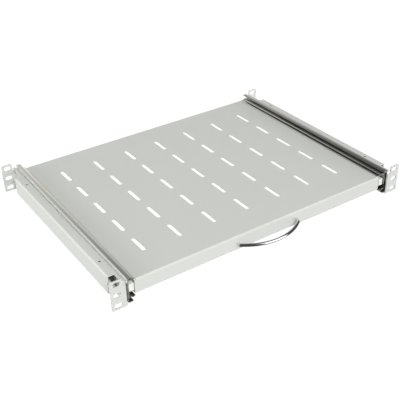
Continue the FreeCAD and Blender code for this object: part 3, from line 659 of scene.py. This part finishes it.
class RACKSHELF_OT_handle(bpy.types.Operator):
    """Bends the handle's rod from stub to bow to stub, with a threaded stud at each end"""

    bl_idname = "rackshelf.handle"
    bl_label = "Bend Handle"

    def execute(self, context):
        sizes = context.scene.rack_shelf_sizes
        low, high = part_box("handle")
        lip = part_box("tray")[0].y
        half = high.x - sizes.rod / 2
        height = (low.z + high.z) / 2
        front = low.y + sizes.rod / 2
        # The bow's arc runs on from each bend's arc without a corner
        bend_x = half - sizes.bend
        bend_y = lip - sizes.stub
        reach = bend_y - front
        bow = (bend_x ** 2 + reach ** 2 - sizes.bend ** 2) / (2 * (reach - sizes.bend))
        bow_y = front + bow
        bend_turn = math.atan2(bow_y - bend_y, bend_x)
        mesh = bmesh.new()
        ring = new_ring(mesh, sizes.rod / 2, Matrix.Translation((half, lip, height)) @ ALONG_Y)
        ring = run_on(mesh, ring, (0, -sizes.stub, 0))
        ring = sweep(mesh, ring, (bend_x, bend_y, height), -bend_turn, BEND_STEPS)
        ring = sweep(mesh, ring, (0, bow_y, height), 2 * bend_turn - math.pi, BOW_STEPS)
        ring = sweep(mesh, ring, (-bend_x, bend_y, height), -bend_turn, BEND_STEPS)
        ring = run_on(mesh, ring, (0, sizes.stub, 0))
        close_ring(mesh, ring)
        for side in INWARDS.values():
            stud = Matrix.Translation((side * half, lip, height)) @ ALONG_Y
            set_in(mesh, threaded_rod(high.y - lip), stud)
        finish_piece(mesh, "handle_chromed", "handle", chrome_plate())
        return {"FINISHED"}


class RACKSHELF_OT_handle_nuts(bpy.types.Operator):
    """Makes the hexagon nuts on the handle's studs"""

    bl_idname = "rackshelf.handle_nuts"
    bl_label = "Make Handle Nuts"

    def execute(self, context):
        sizes = context.scene.rack_shelf_sizes
        low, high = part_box("handle_nuts")
        half = high.x - sizes.flats / math.sqrt(3)
        mesh = bmesh.new()
        for side in INWARDS.values():
            seat = Matrix.Translation((side * half, low.y, (low.z + high.z) / 2)) @ ALONG_Y
            set_in(mesh, hexagon(high.y - low.y, bore=sizes.thread / 2), seat)
        finish_piece(mesh, "handle_nuts_plated", "handle_nuts", zinc_fastener())
        return {"FINISHED"}


class RACKSHELF_OT_tray_screws(bpy.types.Operator):
    """Makes the hexagon-head screws that hold the inner rails to the tray"""

    bl_idname = "rackshelf.tray_screws"
    bl_label = "Make Tray Screws"

    def execute(self, context):
        sizes = context.scene.rack_shelf_sizes
        plate = zinc_fastener()
        for hand, inwards in INWARDS.items():
            node = f"{hand}_tray_screws"
            low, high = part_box(node)
            crown = low.x if inwards > 0 else high.x
            across = Matrix.Rotation(inwards * math.pi / 2, 4, "Y")
            mesh = bmesh.new()
            for along in (low.y + sizes.flats / 2, high.y - sizes.flats / 2):
                place = Matrix.Translation((crown, along, (low.z + high.z) / 2)) @ across
                shank = place @ Matrix.Translation((0, 0, sizes.head))
                set_in(mesh, hexagon(sizes.head), place)
                set_in(mesh, threaded_rod(high.x - low.x - sizes.head), shank)
            finish_piece(mesh, f"{node}_plated", node, plate)
        return {"FINISHED"}


# Stage


FLOOR_RADIUS = 8.0
FLOOR_STEPS = 64

# The softboxes' places in metres, left and right of the shelf and high before it, and their size
SIDE_SOFTBOX = (-1.9, 0.4, 0.2)
FAR_SOFTBOX = (1.9, 0.4, 0.2)
MAIN_SOFTBOX = (-1.5, -4.1, 3.2)
SOFTBOX_SIZE = (1.5, 1.0)

# The ways to the bright screen, across it, and up the backdrop, whose edge falls to the right
SCREEN_WAY = (0.45, -0.89, 0)
SCREEN_ACROSS = (0.89, 0.45, 0)
BACKDROP_UP = (0.15, 0, 1)

# The soft edges of screen and backdrop, as cosines to the ways above or to the axes: the screen's
# rim, sides and foot, and the backdrop's rim and top
SCREEN_RIM = (0.4, 0.65)
SCREEN_SIDES = (0.3, 0.48)
SCREEN_FOOT = (-0.62, -0.45)
BACKDROP_RIM = (0.5, 0.8)
BACKDROP_TOP = (0.5, 0.68)


def add_softbox(name, place, power, aim):
    """A large rectangular light that faces the shelf and leaves no mirror image in bright metal."""
    lamp = bpy.data.lights.new(name, "AREA")
    lamp.shape = "RECTANGLE"
    lamp.size, lamp.size_y = SOFTBOX_SIZE
    lamp.energy = power
    box = bpy.data.objects.new(name, lamp)
    box.location = place
    box.rotation_euler = (aim - box.location).to_track_quat("-Z", "Y").to_euler()
    box.visible_glossy = False
    bpy.context.scene.collection.objects.link(box)


def add_sky(stage):
    """The studio: a tall bright screen before the shelf, a low backdrop behind, the rest dim."""
    world = bpy.data.worlds.new("studio")
    world.use_nodes = True
    tree = world.node_tree
    tree.nodes.clear()
    way = add_node(tree, "ShaderNodeTexCoord").outputs["Generated"]
    facing, aside, rise = (
        add_node(tree, "ShaderNodeVectorMath", {
            0: way, 1: axis}, operation="DOT_PRODUCT").outputs["Value"]
        for axis in (SCREEN_WAY, SCREEN_ACROSS, BACKDROP_UP))
    before = add_node(tree, "ShaderNodeMapRange", {
        "Value": facing, "From Min": SCREEN_RIM[0], "From Max": SCREEN_RIM[1],
        "To Max": stage.key}, interpolation_type="SMOOTHSTEP")
    offset = add_node(tree, "ShaderNodeMath", {0: aside}, operation="ABSOLUTE")
    screen = add_node(tree, "ShaderNodeMapRange", {
        "Value": offset.outputs["Value"],
        "From Min": SCREEN_SIDES[0], "From Max": SCREEN_SIDES[1],
        "To Min": 1.0, "To Max": 0.0}, interpolation_type="SMOOTHSTEP")
    parts = add_node(tree, "ShaderNodeSeparateXYZ", {"Vector": way}).outputs
    foot = add_node(tree, "ShaderNodeMapRange", {
        "Value": parts["Z"], "From Min": SCREEN_FOOT[0], "From Max": SCREEN_FOOT[1]},
        interpolation_type="SMOOTHSTEP")
    tall = add_node(tree, "ShaderNodeMath", {
        0: screen.outputs["Result"], 1: foot.outputs["Result"]}, operation="MULTIPLY")
    behind = add_node(tree, "ShaderNodeMapRange", {
        "Value": parts["Y"], "From Min": BACKDROP_RIM[0], "From Max": BACKDROP_RIM[1],
        "To Max": stage.backdrop}, interpolation_type="SMOOTHSTEP")
    low = add_node(tree, "ShaderNodeMapRange", {
        "Value": rise, "From Min": BACKDROP_TOP[0], "From Max": BACKDROP_TOP[1],
        "To Min": 1.0, "To Max": 0.0}, interpolation_type="SMOOTHSTEP")
    dim = add_node(tree, "ShaderNodeMath", {
        0: before.outputs["Result"], 1: tall.outputs["Value"], 2: stage.ambient},
        operation="MULTIPLY_ADD")
    glow = add_node(tree, "ShaderNodeMath", {
        0: behind.outputs["Result"], 1: low.outputs["Result"], 2: dim.outputs["Value"]},
        operation="MULTIPLY_ADD")
    light = add_node(tree, "ShaderNodeBackground", {
        "Color": opaque((1, 1, 1)), "Strength": glow.outputs["Value"]})
    add_node(tree, "ShaderNodeOutputWorld", {"Surface": light.outputs["Background"]})
    bpy.context.scene.world = world


def add_floor(stage, colours):
    """A pale floor that turns up to a wall all round, and glows without lighting the shelf."""
    mesh = bmesh.new()
    ring = new_ring(mesh, FLOOR_RADIUS, Matrix.Translation((0, 0, CAD_BOX[0][2])), FLOOR_STEPS)
    run_on(mesh, ring, (0, 0, FLOOR_RADIUS))
    data = bpy.data.meshes.new("floor")
    mesh.to_mesh(data)
    mesh.free()
    material = bpy.data.materials.new("lit_pale_floor")
    material.use_nodes = True
    # The floor lights nothing, and a search for light on it would leave grain on the shelf
    material.cycles.emission_sampling = "NONE"
    tree = material.node_tree
    tree.nodes.clear()
    glow = add_node(tree, "ShaderNodeEmission", {
        "Color": opaque(colours.floor), "Strength": stage.floor_glow})
    add_node(tree, "ShaderNodeOutputMaterial", {"Surface": glow.outputs["Emission"]})
    data.materials.append(material)
    floor = bpy.data.objects.new("floor", data)
    floor.visible_diffuse = False
    floor.visible_glossy = False
    floor.visible_shadow = False
    bpy.context.scene.collection.objects.link(floor)


def add_camera(stage):
    """The camera, before the shelf's left front corner and above it."""
    lens = bpy.data.cameras.new("camera")
    lens.lens = stage.lens
    camera = bpy.data.objects.new("camera", lens)
    place = Matrix.Translation((stage.camera_x, stage.camera_y, stage.camera_z))
    heading = Matrix.Rotation(-stage.heading, 4, "Z")
    tilt = Matrix.Rotation(math.pi / 2 - stage.down, 4, "X")
    camera.matrix_world = place @ (heading @ tilt) @ Matrix.Rotation(stage.roll, 4, "Z")
    bpy.context.scene.collection.objects.link(camera)
    bpy.context.scene.camera = camera


class RACKSHELF_OT_stage(bpy.types.Operator):
    """Sets the floor, the studio light and the camera"""

    bl_idname = "rackshelf.stage"
    bl_label = "Set Stage"

    def execute(self, context):
        stage = context.scene.rack_shelf_stage
        middle = (Vector(CAD_BOX[0]) + Vector(CAD_BOX[1])) / 2
        context.scene.view_settings.view_transform = "Standard"
        add_sky(stage)
        add_softbox("side_softbox", SIDE_SOFTBOX, stage.side_power, middle)
        add_softbox("far_softbox", FAR_SOFTBOX, stage.far_power, middle)
        add_softbox("main_softbox", MAIN_SOFTBOX, stage.main_power, middle)
        add_floor(stage, context.scene.rack_shelf_colours)
        add_camera(stage)
        return {"FINISHED"}


# Add-on


GROUPS = {
    "rack_shelf_sizes": RackShelfSizes,
    "rack_shelf_colours": RackShelfColours,
    "rack_shelf_stage": RackShelfStage,
}

OPERATORS = (
    RACKSHELF_OT_sheet,
    RACKSHELF_OT_rails,
    RACKSHELF_OT_cages,
    RACKSHELF_OT_buffers,
    RACKSHELF_OT_balls,
    RACKSHELF_OT_handle,
    RACKSHELF_OT_handle_nuts,
    RACKSHELF_OT_tray_screws,
    RACKSHELF_OT_stage,
)


class RACKSHELF_PT_panel(bpy.types.Panel):
    """Lists the shelf's pieces, sizes and colours"""

    bl_idname = "RACKSHELF_PT_panel"
    bl_label = "Rack Shelf"
    bl_space_type = "VIEW_3D"
    bl_region_type = "UI"
    bl_category = "Rack Shelf"

    def draw(self, context):
        for operator in OPERATORS:
            self.layout.operator(operator.bl_idname)
        for name, group in GROUPS.items():
            column = self.layout.column(heading=group.__doc__)
            for field in group.__annotations__:
                column.prop(getattr(context.scene, name), field)


def register():
    """Adds the shelf's properties, operators and panel."""
    for name, group in GROUPS.items():
        bpy.utils.register_class(group)
        setattr(bpy.types.Scene, name, bpy.props.PointerProperty(type=group))
    for operator in OPERATORS:
        bpy.utils.register_class(operator)
    bpy.utils.register_class(RACKSHELF_PT_panel)


def unregister():
    """Takes the panel, operators and properties away again."""
    bpy.utils.unregister_class(RACKSHELF_PT_panel)
    for operator in reversed(OPERATORS):
        bpy.utils.unregister_class(operator)
    for name, group in GROUPS.items():
        delattr(bpy.types.Scene, name)
        bpy.utils.unregister_class(group)


def main():
    """Dresses the shelf piece by piece, sets the stage and writes the boxes of both models."""
    register()
    bpy.ops.rackshelf.sheet()
    bpy.ops.rackshelf.rails()
    bpy.ops.rackshelf.cages()
    bpy.ops.rackshelf.buffers()
    bpy.ops.rackshelf.balls()
    bpy.ops.rackshelf.handle()
    bpy.ops.rackshelf.handle_nuts()
    bpy.ops.rackshelf.tray_screws()
    bpy.ops.rackshelf.stage()


if __name__ == "__main__":
    main()
